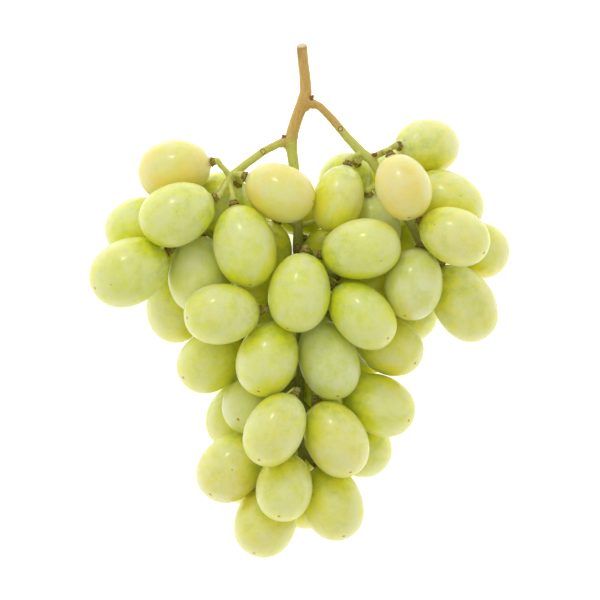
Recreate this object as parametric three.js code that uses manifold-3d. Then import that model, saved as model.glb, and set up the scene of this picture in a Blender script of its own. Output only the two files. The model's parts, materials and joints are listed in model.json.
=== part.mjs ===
// A bunch of white table grapes, as cut from the vine, lying on its back. Millimetres, +Z up.
// +X is the shoulder with the long side branch, +Y runs to the cut end of the stem, and +Z is the
// side that is looked at. The bunch is laid out about its rachis, whose level is z = 0 until the
// last lines, which move the whole so that the surface under it is z = 0.

import * as THREE from 'three';
import { mergeVertices } from 'three/addons/utils/BufferGeometryUtils.js';
import Module from 'manifold-3d';

const wasm = await Module();
wasm.setup();

// Driving dimensions
const SURFACE = -29;         // level of the surface that the bunch lies on, from the rachis
const SETTLE_DEPTH = 0.7;    // how far a grape's skin gives where it lies on the surface
const GRAPE_GAP = 0.35;      // between neighbouring skins
const STALK_GAP = 0.35;      // between a skin and a stalk
const BEND_ROOM = 0.25;      // more of it, where a stalk bends round a skin
const EGG = 0.05;            // how much fuller a grape is towards its blossom end
const STALK_RADIUS = 0.85;   // of one grape's own stalk
const NECK_LENGTH = 2.4;     // of the straight end of a stalk, which flares into a collar
const COLLAR = [             // distance back from the collar's face, radius
  [1.1, 1.25],
  [0, 1.9],
];
const COLLAR_ROOM = 2.3;     // radius kept free of other grapes round a collar
const SIDE_LIMB_RADIUS = 1.05;

// Faces
const GRAPE_SIDES = 10;
const GRAPE_RINGS = 7;
const LIMB_SIDES = 10;
const SIDE_LIMB_SIDES = 8;
const STALK_SIDES = 6;
const STEM_TOLERANCE = 0.04; // of the joined stem's faces

// Packing
const SEEN_GIVE = 0.05;      // how easily a seen grape moves sideways, against 1 up and down
const FREE_GIVE = 0.3;       // the same for a hidden grape
const DRAW_BACK = 0.08;      // share of the way back to its own place that a grape goes each step
const DRAW_UNTIL = 0.7;      // share of the steps in which grapes are drawn back
const SINK = 0.1;            // how far a back grape comes down each step
const FIRST_STEPS = 260;     // round the limbs alone
const ROUND_STEPS = [60, 60, 60, 60, 120];
const STALK_POINTS = 8;
const STALK_ROUNDS = 160;
const STALK_SMOOTHING = 0.4;

const TONES = {
  green: 0xc3cc68,
  amber: 0xd9cd78,
  bloom: 0xb5c47c,
  stem: 0x9aa04e,
};

// One grape: its place, its length and width, the way its stalk end points in plan (degrees from
// +X towards +Y) and how far that end dips below the level of its middle (degrees). It may name
// the limb that carries it. One marked free is hidden by others and gives way first.
function grape(part, at, size, turn, dip, more = {}) {
  return { part, at, size, turn, dip, tone: 'green', free: false, limb: 'rachis', ...more };
}

const GRAPES = [
  // Left shoulder
  grape('left', [-44, 45.5, 4], [26, 21.5], 12, -8, { tone: 'amber', limb: 'leftFork' }),
  grape('left', [-43.5, 30.5, 16], [27.5, 22], 24, 5, { limb: 'leftFork' }),
  grape('left', [-56.5, 25.5, -4], [26, 21.5], 20, -15, { limb: 'leftUnder' }),
  grape('left', [-60, 10, 12], [29.5, 23.5], 28, 12, { limb: 'leftUnder' }),
  grape('left', [-34.5, 9, 2], [27.5, 22.5], 88, 12, { tone: 'bloom', limb: 'leftUnder' }),
  grape('left', [-44.5, -2, -8], [26, 20.5], 95, -20, { limb: 'leftUnder' }),
  grape('left', [-19.5, 19, 18], [30, 22], 104, 12, { limb: 'leftFork' }),
  grape('left', [-7, 37.5, 16], [25.5, 20], 155, 8, { tone: 'amber', limb: 'leftFork' }),
  grape('left', [-29, 33.5, -4], [24, 22], 47, -40, { limb: 'leftFork' }),
  grape('left', [-0.5, 32.5, -14], [22.5, 18.5], 170, -20),
  grape('left', [-13.5, 15, -2], [28.5, 22.5], 64, -10),
  // Right shoulder
  grape('right', [13.5, 35.5, 8], [24.5, 18], 75, 8, { limb: 'rightBranch' }),
  grape('right', [16, 42, -10], [22, 19], 58, -52, { limb: 'rightBranch' }),
  grape('right', [36.5, 39.5, 18], [24, 19.5], 111, 15, { tone: 'amber', limb: 'rightTwig' }),
  grape('right', [28, 26.5, 0], [23.5, 18.5], 100, -20, { tone: 'bloom', limb: 'rightBranch' }),
  grape('right', [42, 20, -14], [23.5, 20], 110, -30, { limb: 'rightUnder' }),
  grape('right', [54, 22.5, 17], [26, 20], 156, 12, { limb: 'rightUnder' }),
  grape('right', [45, 54, -6], [25, 19.5], 180, -41, { limb: 'rightTwig' }),
  grape('right', [52, 35, 0], [27.5, 21.5], 150, 12, { limb: 'rightUnder' }),
  grape('right', [63, 18, -6], [23, 20], 170, -20, { limb: 'rightUnder' }),
  grape('right', [58, -1, 6], [29.5, 21.5], 121, -5, { limb: 'rightUnder' }),
  grape('right', [38.5, 6, 10], [26, 20.5], 80, 15, { tone: 'bloom', limb: 'rightUnder' }),
  grape('right', [38.5, -4.5, -12], [22, 21], 60, -40),
  // Front of the bunch
  grape('front', [22, 17.5, 19], [28.5, 21.5], 188, 15),
  grape('front', [0, 2.5, 21], [28.5, 22], 82, 15),
  grape('front', [22, -5, 17], [28, 20], 134, 18),
  grape('front', [-26.5, -5, 15], [27, 21.5], 5, 12),
  grape('front', [-12, -21.5, 18], [27.5, 21.5], 71, 18),
  grape('front', [10, -21.5, 15], [29.5, 21], 109, 15, { tone: 'bloom' }),
  grape('front', [-31.5, -21.5, 2], [26, 21], 36, 15),
  grape('front', [31, -16.5, 2], [25.5, 20.5], 155, 20),
  grape('front', [28, -36, 5], [27.5, 21], 152, 15),
  grape('front', [-9, -45, 18], [28, 20.5], 61, 18),
  grape('front', [13, -48.5, 18], [29, 21.5], 117, 16),
  grape('front', [-22.5, -41, -6], [25.5, 20.5], 62, -20),
  grape('front', [-17, -37.5, 2], [22, 20], 60, 40, { tone: 'bloom' }),
  grape('front', [-24, -58.5, 6], [27, 22], 48, 15),
  grape('front', [22.5, -52.5, -6], [21, 20], 120, -40),
  // Tip
  grape('tip', [-5.5, -66, 17], [24.5, 20], 82, 20),
  grape('tip', [-12, -78, 4], [27, 22], 70, 12),
  grape('tip', [11, -71.5, 5], [28, 21.5], 110, 14),
  grape('tip', [2, -71, -13], [21, 20], 90, -45),
  grape('tip', [-18, -63, -12], [21, 20], 60, -40),
  // Inside, seen through the gaps of the front ones
  grape('inner', [10, 15, -3], [21.5, 21], 140, -20),
  grape('inner', [29, 8, 0], [22, 20.5], 160, -20, { free: true }),
  grape('inner', [8.5, -34, -5], [16.5, 15.5], 150, -20, { free: true }),
  // Back, which the bunch lies on, each under a gap of the front ones where there is one
  grape('back', [-48, 15, -18], [22, 20.5], 30, -40, { limb: 'leftUnder', free: true }),
  grape('back', [-28, 17, -18], [22, 20.5], 40, -50, { limb: 'leftUnder', free: true }),
  grape('back', [-14.5, -4.5, -18], [22, 20.5], 35, -50, { free: true }),
  grape('back', [-16, 32, -19], [17.5, 16], 70, -40, { limb: 'leftFork', free: true }),
  grape('back', [7.5, -2.5, -18], [22, 20.5], 130, -50, { free: true }),
  grape('back', [22, 22.5, -18], [22, 20.5], 150, -40, { free: true }),
  grape('back', [33.5, 43, -14], [22, 20.5], 160, -60, { limb: 'rightBranch', free: true }),
  grape('back', [-27, -21, -18], [21, 20], 20, -40, { free: true }),
  grape('back', [-3.5, -22.3, -18], [22, 20], 60, -50, { free: true }),
  grape('back', [18.5, -36.5, -18], [21, 20], 140, -50, { free: true }),
  grape('back', [24, -17.5, -18], [21, 20], 150, -40, { free: true }),
  grape('back', [1.5, -51.5, -18], [22, 20.5], 90, -50, { free: true }),
];

// The main limbs of the stem, each as points [x, y, z, radius] along its middle
const LIMBS = {
  peduncle: [
    [0.5, 90.2, 1, 1.65], [1.1, 85.2, 0.8, 1.65], [1.8, 79, 0.4, 1.7], [2.1, 74, 0.2, 1.9],
    [1.4, 70.3, 0, 2.25], [-0.2, 67, 0, 1.95], [-1.5, 63.5, 0, 1.85], [-2.6, 60, 0, 1.95],
    [-3.3, 56.4, 0, 2.1], [-2.9, 53, 0, 1.75], [-2.4, 49.7, 0, 1.65], [-1.7, 43, 0, 1.6],
    [-1, 34, 0, 1.6], [-0.7, 26, 0, 1.5],
  ],
  rachis: [
    [-0.7, 26, 0, 1.5], [-0.9, 18, 0, 1.55], [0.4, 8, 0, 1.5], [-0.4, -4, 0, 1.45],
    [0.6, -16, 0, 1.4], [0.2, -28, 0, 1.35], [-0.4, -40, 0, 1.25], [0.4, -52, 0, 1.15],
    [0.6, -61, 0, 1],
  ],
  rightBranch: [
    [1.6, 70.6, 0, 1.3], [4.8, 69.8, 0.2, 1.3], [7.3, 68.6, 0.5, 1.15], [11.4, 64.3, 1.3, 1.2],
    [16.7, 57.9, 2.6, 1.3], [22, 52.2, 4, 1.5], [25.4, 49.8, 4.5, 1.6], [27.3, 46.2, 4, 1.35],
    [31, 39, 2.4, 1.3],
  ],
  rightUnder: [
    [31, 39, 2.4, 1.3], [35.5, 32.5, 2.4, 1.3], [38.9, 27.7, 3, 1.3], [41.5, 22.4, 4, 1.3],
    [44, 17.6, 5, 1.25], [46.9, 14.9, 6, 1.1], [48.4, 13.6, 6.6, 1],
  ],
  rightTwig: [
    [25.4, 49.8, 4.5, 1.1], [27, 51.2, 5, 1], [29.1, 52.2, 5.4, 1.05], [31.2, 53.2, 4.6, 0.95],
  ],
  leftBranch: [
    [-3.2, 56.6, 0, 1.35], [-7.1, 55.8, 1.2, 1.15], [-12.8, 52.9, 3.4, 1.15],
    [-18.8, 48.5, 5.8, 1.15], [-23.4, 44.6, 7.6, 1.4],
  ],
  leftFork: [
    [-23.4, 44.6, 7.6, 1.3], [-25.2, 42.9, 8.2, 1.2],
  ],
  leftUnder: [
    [-25.2, 42.9, 8.2, 1.15], [-27.7, 38.8, 8.4, 1.05], [-31.5, 35.4, 7.6, 1.1],
    [-37, 31, 4.6, 1.1], [-41, 24.5, 2.4, 1.1], [-42.2, 19, 1, 1],
  ],
};

// Short side limbs: the y at which each leaves the rachis, and where it ends
const SIDE_LIMBS = [
  { y: 17, to: [7, 11, 6] },
  { y: 11, to: [-8.5, 3, 3] },
  { y: 2, to: [10, -5, 3] },
  { y: -8, to: [-8, -13, 4] },
  { y: -19, to: [9, -27, 1] },
  { y: -27, to: [-9, -34, -1] },
  { y: -36, to: [9, -43, 2] },
  { y: -46, to: [-8, -55, 1] },
  { y: -52, to: [7, -60, -1] },
];
const SIDE_LIMB_BEND = 0.45; // how far along a side limb its bend is
const SIDE_LIMB_DROOP = 0.8; // how far the bend hangs down the bunch

const vector = ([x, y, z]) => new THREE.Vector3(x, y, z);
const pointAt = (p, radius) => [p.x, p.y, p.z, radius];

// Skin of a grape

// The lathe profile runs from the blossom end, below, to the stalk end
function grapeShape([long, wide]) {
  const profile = [];
  for (let i = GRAPE_RINGS; i >= 0; i -= 1) {
    const t = (i / GRAPE_RINGS) * Math.PI;
    const onAxis = i === 0 || i === GRAPE_RINGS;
    const across = onAxis ? 0 : (wide / 2) * Math.sin(t) * (1 - EGG * Math.cos(t));
    profile.push(new THREE.Vector2(across, (long / 2) * Math.cos(t)));
  }
  return new THREE.LatheGeometry(profile, GRAPE_SIDES);
}

// Balls on a grape's axis that together fill it, for measuring how near things come
const BALL_PLACES = [-0.94, -0.66, -0.34, 0, 0.34, 0.66, 0.94];

function ballsIn([long, wide]) {
  const a = long / 2;
  const b = wide / 2;
  const focus = a * a - b * b;
  return BALL_PLACES.map((place) => {
    const s = (place * focus) / a;
    const radius = b * Math.sqrt(1 - (s * s) / focus);
    return { s, radius: radius * (1 - 0.6 * EGG * (s / a)) };
  });
}

function prepare(row) {
  const turn = THREE.MathUtils.degToRad(row.turn);
  const dip = THREE.MathUtils.degToRad(row.dip);
  const sideways = row.free ? FREE_GIVE : SEEN_GIVE;
  return {
    ...row,
    axis: vector([Math.cos(turn) * Math.cos(dip), Math.sin(turn) * Math.cos(dip), -Math.sin(dip)]),
    middle: vector(row.at),
    home: vector(row.at),
    balls: ballsIn(row.size),
    give: vector([sideways, sideways, 1]),
    reach: row.size[0] / 2 + 1,
  };
}

function onAxis(g, s, target = new THREE.Vector3()) {
  return target.copy(g.axis).multiplyScalar(s).add(g.middle);
}

function collarMiddle(g, target) {
  return onAxis(g, g.size[0] / 2 + 0.9 * COLLAR_ROOM, target);
}

// Packing

const here = new THREE.Vector3();
const there = new THREE.Vector3();
const nearest = new THREE.Vector3();
const line = new THREE.Line3();

// The gap from a grape's skin to a point, and the way from one to the other
function gapToPoint(g, point) {
  let best = { gap: Infinity };
  for (const ball of g.balls) {
    onAxis(g, ball.s, here);
    const gap = here.distanceTo(point) - ball.radius;
    if (gap < best.gap) {
      best = { gap, way: point.clone().sub(here).normalize() };
    }
  }
  return best;
}

function gapBetween(a, b) {
  let best = { gap: Infinity };
  for (const ball of b.balls) {
    onAxis(b, ball.s, there);
    const { gap, way } = gapToPoint(a, there);
    if (gap - ball.radius < best.gap) {
      best = { gap: gap - ball.radius, way };
    }
  }
  return best;
}

// Moves two grapes apart along a way, each as freely as it gives, or one grape alone
function pushApart(a, b, way, amount) {
  const moveA = way.clone().multiply(a.give);
  const moveB = b ? way.clone().multiply(b.give) : new THREE.Vector3();
  const share = amount / (moveA.dot(way) + moveB.dot(way));
  a.middle.addScaledVector(moveA, -share);
  if (b) {
    b.middle.addScaledVector(moveB, share);
  }
}

function lowest(g) {
  return Math.min(...g.balls.map((ball) => onAxis(g, ball.s, here).z - ball.radius));
}

function lieOnSurface(g) {
  const height = lowest(g) - (SURFACE - SETTLE_DEPTH);
  if (height < 0) {
    g.middle.z -= height;
  } else if (g.part === 'back') {
    g.middle.z -= Math.min(height, SINK);
  }
}

function clearOfRod(g, rod) {
  for (const ball of g.balls) {
    onAxis(g, ball.s, here);
    line.set(rod.start, rod.end).closestPointToPoint(here, true, nearest);
    const lack = ball.radius + rod.radius + STALK_GAP - here.distanceTo(nearest);
    if (lack > 0) {
      pushApart(g, null, nearest.clone().sub(here).normalize(), lack);
    }
  }
}

// Skins, collars, limbs and the surface push the grapes apart, and until the last steps each is
// drawn back to the place that it was given
function settle(grapes, rods, steps) {
  for (let step = 0; step < steps; step += 1) {
    const draw = DRAW_BACK * Math.max(0, 1 - step / (steps * DRAW_UNTIL));
    for (const g of grapes) {
      g.middle.lerp(g.home, draw);
      lieOnSurface(g);
    }
    grapes.forEach((a, i) => {
      for (const b of grapes.slice(i + 1)) {
        if (a.middle.distanceTo(b.middle) < a.reach + b.reach) {
          const { gap, way } = gapBetween(a, b);
          if (gap < GRAPE_GAP) {
            pushApart(a, b, way, GRAPE_GAP - gap);
          }
        }
      }
      for (const b of grapes) {
        if (b !== a && a.middle.distanceTo(b.middle) < a.reach + b.reach + 2 * COLLAR_ROOM) {
          const { gap, way } = gapToPoint(a, collarMiddle(b, there));
          if (gap < COLLAR_ROOM) {
            pushApart(a, b, way, (COLLAR_ROOM - gap) / 2);
          }
        }
      }
      rods.filter((rod) => rod.owner !== a).forEach((rod) => clearOfRod(a, rod));
    });
  }
}

// Stem

// A side limb leaves the rachis slanting down the bunch, then bends outwards
function sideLimb({ y, to }) {
  const below = LIMBS.rachis.findIndex((point) => point[1] <= y);
  const [upper, lower] = LIMBS.rachis.slice(below - 1, below + 1);
  const t = (upper[1] - y) / (upper[1] - lower[1]);
  const root = vector(upper).lerp(vector(lower), t);
  const bend = root.clone().lerp(vector(to), SIDE_LIMB_BEND);
  bend.y -= SIDE_LIMB_DROOP;
  return [root, bend, vector(to)].map((p) => pointAt(p, SIDE_LIMB_RADIUS));
}

function rodsAlong(points, owner = null) {
  return points.slice(1).map((end, i) => ({
    start: vector(points[i]),
    end: vector(end),
    radius: Math.max(points[i][3], end[3]),
    owner,
  }));
}

const sideLimbs = SIDE_LIMBS.map(sideLimb);
const limbRods = [...Object.values(LIMBS), ...sideLimbs].flatMap((limb) => rodsAlong(limb));

// The stretches of the limbs that carry stalks
const carriers = {
  rachis: [LIMBS.rachis, ...sideLimbs].flatMap((limb) => rodsAlong(limb)),
  leftFork: rodsAlong(LIMBS.leftFork),
  leftUnder: rodsAlong(LIMBS.leftUnder),
  rightBranch: rodsAlong(LIMBS.rightBranch.slice(5)),
  rightTwig: rodsAlong(LIMBS.rightTwig.slice(1)),
  rightUnder: rodsAlong(LIMBS.rightUnder),
};

// A stalk springs from the nearest place on the limb that carries it
function rootOf(g) {
  const collar = collarMiddle(g, new THREE.Vector3());
  const places = carriers[g.limb].map((rod) => {
    return line.set(rod.start, rod.end).closestPointToPoint(collar, true, new THREE.Vector3());
  });
  const distances = places.map((place) => place.distanceTo(collar));
  return places[distances.indexOf(Math.min(...distances))];
}

// A stalk runs from its root to its collar like a taut band that every grape pushes aside
function stalkOf(g, grapes) {
  const face = onAxis(g, g.size[0] / 2 + STALK_GAP);
  const neck = onAxis(g, g.size[0] / 2 + STALK_GAP + NECK_LENGTH);
  const root = rootOf(g);
  const span = root.distanceTo(neck);
  const near = grapes.filter((other) => other.middle.distanceTo(neck) < span + 2 * other.reach);
  const band = [];
  for (let i = 0; i <= STALK_POINTS; i += 1) {
    band.push(root.clone().lerp(neck, i / STALK_POINTS));
  }
  for (let round = 0; round < STALK_ROUNDS; round += 1) {
    for (let i = 1; i < STALK_POINTS; i += 1) {
      const between = band[i - 1].clone().add(band[i + 1]).multiplyScalar(0.5);
      band[i].lerp(between, STALK_SMOOTHING);
    }
    for (const point of band.slice(1, -1)) {
      for (const other of near) {
        const { gap, way } = gapToPoint(other, point);
        point.addScaledVector(way, Math.max(0, STALK_RADIUS + STALK_GAP + BEND_ROOM - gap));
      }
    }
  }
  const shaft = band.filter((point, i) => i % 2 === 0).map((point) => pointAt(point, STALK_RADIUS));
  const flare = COLLAR.map(([back, radius]) => {
    return pointAt(face.clone().addScaledVector(g.axis, back), radius);
  });
  return { g, points: [...shaft, ...flare] };
}

// A tube along a smooth line through points that give its radius too, closed at both ends, with
// a number of rings for each stretch between two points
function tube(points, sides, rings) {
  const curve = new THREE.CatmullRomCurve3(points.map(vector), false, 'centripetal');
  const count = (points.length - 1) * rings;
  const normal = new THREE.Vector3(0.3, 0.1, 1);
  const position = [];
  const index = [];
  for (let i = 0; i <= count; i += 1) {
    const from = Math.min(points.length - 2, Math.floor(i / rings));
    const radius = THREE.MathUtils.lerp(points[from][3], points[from + 1][3], i / rings - from);
    const centre = curve.getPoint(i / count);
    const tangent = curve.getTangent(i / count);
    normal.addScaledVector(tangent, -normal.dot(tangent)).normalize();
    const binormal = tangent.clone().cross(normal);
    for (let k = 0; k < sides; k += 1) {
      const angle = (k / sides) * 2 * Math.PI;
      const p = centre.clone();
      p.addScaledVector(normal, Math.cos(angle) * radius);
      p.addScaledVector(binormal, Math.sin(angle) * radius);
      position.push(p.x, p.y, p.z);
    }
  }
  for (let i = 0; i < count; i += 1) {
    for (let k = 0; k < sides; k += 1) {
      const a = i * sides + k;
      const b = i * sides + ((k + 1) % sides);
      index.push(a, b, a + sides, b, b + sides, a + sides);
    }
  }
  const last = count * sides;
  for (let k = 1; k < sides - 1; k += 1) {
    index.push(0, k + 1, k, last, last + k, last + k + 1);
  }
  const geometry = new THREE.BufferGeometry();
  geometry.setAttribute('position', new THREE.Float32BufferAttribute(position, 3));
  geometry.setIndex(index);
  return geometry;
}

// Solids

function solid(geometry) {
  const bare = geometry.clone();
  bare.deleteAttribute('normal');
  bare.deleteAttribute('uv');
  const merged = mergeVertices(bare);
  const mesh = new wasm.Mesh({
    numProp: 3,
    vertProperties: new Float32Array(merged.attributes.position.array),
    triVerts: new Uint32Array(merged.index.array),
  });
  return new wasm.Manifold(mesh);
}

function meshOf(name, body, tone, roughness) {
  const { vertProperties, triVerts } = body.getMesh();
  const geometry = new THREE.BufferGeometry();
  geometry.setAttribute('position', new THREE.Float32BufferAttribute(vertProperties, 3));
  geometry.setIndex(new THREE.Uint32BufferAttribute(triVerts, 1));
  geometry.computeVertexNormals();
  const material = new THREE.MeshStandardMaterial({ color: TONES[tone], roughness, metalness: 0 });
  const mesh = new THREE.Mesh(geometry, material);
  mesh.name = name;
  return mesh;
}

// What the surface flattens is cut off
function grapeMesh(g, name) {
  const shape = grapeShape(g.size);
  const lathe = new THREE.Vector3(0, 1, 0);
  shape.applyQuaternion(new THREE.Quaternion().setFromUnitVectors(lathe, g.axis));
  shape.translate(g.middle.x, g.middle.y, g.middle.z);
  return meshOf(name, solid(shape).trimByPlane([0, 0, 1], SURFACE), g.tone, 0.42);
}

function stemMesh(stalks) {
  const tubes = [
    ...Object.values(LIMBS).map((limb) => tube(limb, LIMB_SIDES, 1)),
    ...sideLimbs.map((limb) => tube(limb, SIDE_LIMB_SIDES, 2)),
    ...stalks.map((stalk) => tube(stalk.points, STALK_SIDES, 1)),
  ];
  const joined = wasm.Manifold.union(tubes.map(solid)).simplify(STEM_TOLERANCE);
  // A speck of air that crossing stalks shut in is a part of its own, and is left out
  const [whole] = joined.decompose().sort((a, b) => b.volume() - a.volume());
  return meshOf('stem', whole, 'stem', 0.7);
}

// The bunch is packed round the limbs first, and then round the stalks too, which are routed
// anew before each round
const grapes = GRAPES.map(prepare);
settle(grapes, limbRods, FIRST_STEPS);
for (const steps of ROUND_STEPS) {
  const stalks = grapes.map((g) => stalkOf(g, grapes));
  const stalkRods = stalks.flatMap((stalk) => rodsAlong(stalk.points, stalk.g));
  settle(grapes, [...limbRods, ...stalkRods], steps);
}

const bunch = new THREE.Group();
const counts = {};
for (const g of grapes) {
  counts[g.part] = (counts[g.part] ?? 0) + 1;
  bunch.add(grapeMesh(g, `grape_${g.part}_${String(counts[g.part]).padStart(2, '0')}`));
}
bunch.add(stemMesh(grapes.map((g) => stalkOf(g, grapes))));

const box = new THREE.Box3().setFromObject(bunch);
const middle = box.getCenter(new THREE.Vector3());
bunch.position.set(-middle.x, -middle.y, -SURFACE);

export default bunch;
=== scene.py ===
"""A bunch of white table grapes with its stem, lying on its back.

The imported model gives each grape's place, size and slant, and the stem's course. Geometry Nodes grow a
finer skin for each grape, with a cushion under the stalk and the scar of the flower at the far end, and
set corky spots on the bark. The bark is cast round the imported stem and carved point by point. All
finishes are procedural.
"""

import json
import math

import bmesh
import bpy
import mathutils.noise
import numpy as np
from bpy.props import FloatProperty, FloatVectorProperty, IntProperty, PointerProperty
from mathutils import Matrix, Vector
from mathutils.bvhtree import BVHTree


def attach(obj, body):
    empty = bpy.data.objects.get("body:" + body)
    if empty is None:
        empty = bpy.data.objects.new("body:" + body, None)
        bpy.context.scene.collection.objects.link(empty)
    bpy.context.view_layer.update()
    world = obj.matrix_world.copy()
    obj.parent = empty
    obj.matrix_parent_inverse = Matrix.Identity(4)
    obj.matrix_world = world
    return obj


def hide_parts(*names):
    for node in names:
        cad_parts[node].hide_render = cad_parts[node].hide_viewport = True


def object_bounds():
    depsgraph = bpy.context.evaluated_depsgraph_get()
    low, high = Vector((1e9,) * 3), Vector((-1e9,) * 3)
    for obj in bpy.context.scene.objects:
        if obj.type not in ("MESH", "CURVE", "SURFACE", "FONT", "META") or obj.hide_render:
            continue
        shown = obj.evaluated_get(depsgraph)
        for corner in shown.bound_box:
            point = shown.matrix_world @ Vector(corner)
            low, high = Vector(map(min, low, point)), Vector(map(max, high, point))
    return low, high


bl_info = {
    "name": "Bunch of grapes",
    "version": (1, 0, 0),
    "blender": (4, 5, 0),
    "location": "3D View > Sidebar > Grapes",
    "description": "Grows the skins, the stem and the finishes of a bunch of white table grapes",
    "category": "Object",
}

MM = 0.001
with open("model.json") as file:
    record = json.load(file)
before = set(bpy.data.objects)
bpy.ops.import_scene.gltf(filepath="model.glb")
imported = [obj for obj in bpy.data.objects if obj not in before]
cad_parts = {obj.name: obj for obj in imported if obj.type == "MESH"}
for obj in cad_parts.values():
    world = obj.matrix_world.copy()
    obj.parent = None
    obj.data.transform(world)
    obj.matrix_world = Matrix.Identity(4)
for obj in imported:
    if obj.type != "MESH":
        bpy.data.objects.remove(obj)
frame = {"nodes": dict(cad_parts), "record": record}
CAD_BOX = [list(corner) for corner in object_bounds()]

MERGE = 1e-6  # metres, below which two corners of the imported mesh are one
ON_AXIS = 1e-6  # metres, the least distance from a stalk's axis that a collar's spread is divided by
CAD_SIDES = 10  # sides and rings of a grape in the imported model
CAD_RINGS = 7
EGG = 0.05  # how much fuller a grape is at its blossom end
COLLAR_GAP = 0.35 * MM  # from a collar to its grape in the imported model
GAP_SLACK = 0.2 * MM  # how far a stalk end may be off that gap
ON_FLOOR = 0.01 * MM  # a point lower than this lies on the floor
PHOTO_MIDDLE = Vector((-0.021, 0.480)) * MM  # the point under the middle of the photograph

# Blossom scar: how far off the tip it sits, how much that strays, its raised rim and its dimple
SCAR_TILT = math.radians(14)
SCAR_STRAY = 0.4
SCAR_RIM = 0.13 * MM
SCAR_DIMPLE = 0.11 * MM
# Under the collar, as distances from a grape's axis: the edge of the cushion's top and its foot, and
# where the inner and the outer bank of the moat round it start and end
CUSHION_TOP = 1.2 * MM
CUSHION_FOOT = 2.6 * MM
MOAT_INNER = (1.9 * MM, 2.8 * MM)
MOAT_OUTER = (5.4 * MM, 3.0 * MM)
MOAT_DEPTH = 0.16 * MM
LUMPS_FROM = (1.5 * MM, 5 * MM)  # radii between which the unevenness of a grape sets in
POLE_CROWDING = 0.21  # how much closer the rings of a grape are near its poles
VEIN_TWIST = 0.22  # how fast the veins change along a grape, against round it

LOW_GRAPES = -38 * MM  # grapes below this, near the tip of the bunch, are riper
RIGHT_GRAPES = 30 * MM  # and so are those of the right shoulder, past this
WAX_RUBBED_AND_SHADED = 1.5 * MM  # the whitish wax is rubbed off this near to a neighbour and whole this far from it; the thin wax also paints shade between grapes, and the whole wax paints light on their open sides
WAX_WHOLE_AND_LIT = 9 * MM

# The bare limbs of the stem, as x, y, z of the points that they pass, in mm, for the run of the bark
BARK_RUNS = {
    "peduncle": [(0.4, 90.7, 30), (2.0, 74.5, 29.2), (-0.3, 67.5, 29), (-3.3, 56.9, 29)],
    "rachis": [(-3.3, 56.9, 29), (-1.8, 43.5, 29), (-0.8, 26.5, 29), (0.3, 8.5, 29), (0.2, -27.5, 29)],
    "right": [(1.5, 71.1, 29), (7.2, 69.1, 29.5), (16.6, 58.4, 31.6), (25.3, 50.3, 33.5),
              (30.9, 39.5, 31.4)],
    "left": [(-3.3, 57.1, 29), (-12.9, 53.4, 32.4), (-23.5, 45.1, 36.6), (-31.6, 35.9, 36.6)],
}
BARE_REACH = (2.2 * MM, 3.5 * MM)  # how far from such a run the bark stops being that of a bare limb
# Swellings that web the knees of the stem: x, y, z and radius in mm
KNEES = [
    (1.1, 71.6, 29.1, 1.9), (1.6, 70.5, 29.1, 2.0), (3.0, 70.6, 29.2, 1.75), (4.6, 70.1, 29.4, 1.5),
    (1.9, 69.3, 29.0, 1.6), (-3.2, 58.4, 29.0, 1.8), (-3.7, 57.3, 29.1, 2.0), (-5.2, 56.9, 29.6, 1.65),
    (-6.6, 56.2, 30.1, 1.4), (-4.2, 55.6, 29.3, 1.6), (17.0, 58.0, 31.8, 1.35), (25.4, 50.4, 33.5, 1.5),
]
# Stubs of shed bracts: the points that each passes, from root to tip, in mm, with its radius there
STUBS = [
    [(3.4, 71.6, 30.0, 0.8), (4.2, 72.3, 30.4, 0.45), (4.6, 73.0, 30.6, 0.3)],
    [(-5.0, 57.8, 29.8, 0.8), (-5.7, 58.5, 30.2, 0.45), (-6.1, 58.9, 30.5, 0.3)],
    [(26.0, 51.4, 34.4, 0.9), (26.4, 52.2, 35.0, 0.5)],
    [(-1.0, 17.8, 30.4, 0.9), (-1.3, 17.4, 31.2, 0.5)],
]
STUB_STEPS = 4  # balls from one of those points to the next
# Scars on the upper side of the bark, round and sunken: x, y and radius in mm, and how pale the middle is
SCARS = [(14.0, 61.7, 0.65, 1.0), (-12.7, 53.8, 0.7, 0.25), (29.1, 52.0, 0.75, 0.5), (-0.5, 20.1, 0.6, 0.4)]

# The cut end: how far the tip is drawn out, and where the lower edge of the cut is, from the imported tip
TIP_ZONE = 0.5 * MM
TIP_GROWTH = 1.2 * MM
CUT_REACH = 0.6 * MM
CUT_DROP = 1.6 * MM
CUT_LEAN = -0.15  # sideways, so that the cut rises to the right

FLOOR_HALF = 10.0
FLOOR_LEVEL = -0.1 * MM
DIM_MIDDLE = (-2 * MM, -21 * MM, 0)  # the place under the thick of the bunch where the floor is dim
DIM_REACH = (12 * MM, 18 * MM, 1.0)
KEY_WAY = Vector((-0.22, 0.85, 0.62))
KEY_DISTANCE = 1.1
KEY_SIZE = 0.16
FILL_PLACE = Vector((-0.35, 0.05, 1.6))
FILL_SIZE = 1.4
WHITE = (1.0, 1.0, 1.0)


def length_of(name, description, default):
    """A setting that is a length."""
    return FloatProperty(name=name, description=description, default=default, unit="LENGTH", precision=5)


def colour_of(name, description, default):
    """A setting that is a colour."""
    return FloatVectorProperty(name=name, description=description, default=default, subtype="COLOR",
                               min=0, max=1)


class FruitSizes(bpy.types.PropertyGroup):
    """How finely and how unevenly a grape is shaped"""

    sides: IntProperty(name="Sides", description="Faces round a grape", default=64, min=16)
    rings: IntProperty(name="Rings", description="Faces from stalk to blossom scar", default=48, min=12)
    fullness: FloatProperty(name="Fullness", description="1 for an egg, less for fuller shoulders",
                            default=0.92)
    lump: length_of("Lump", "How far a grape is from a true egg", 0.14 * MM)
    lump_size: length_of("Lump size", "Width of one unevenness", 11 * MM)
    cushion: length_of("Cushion", "Height of the swelling under the collar", 0.3 * MM)
    scar: length_of("Scar", "Radius of the scar of the flower", 0.5 * MM)


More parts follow.
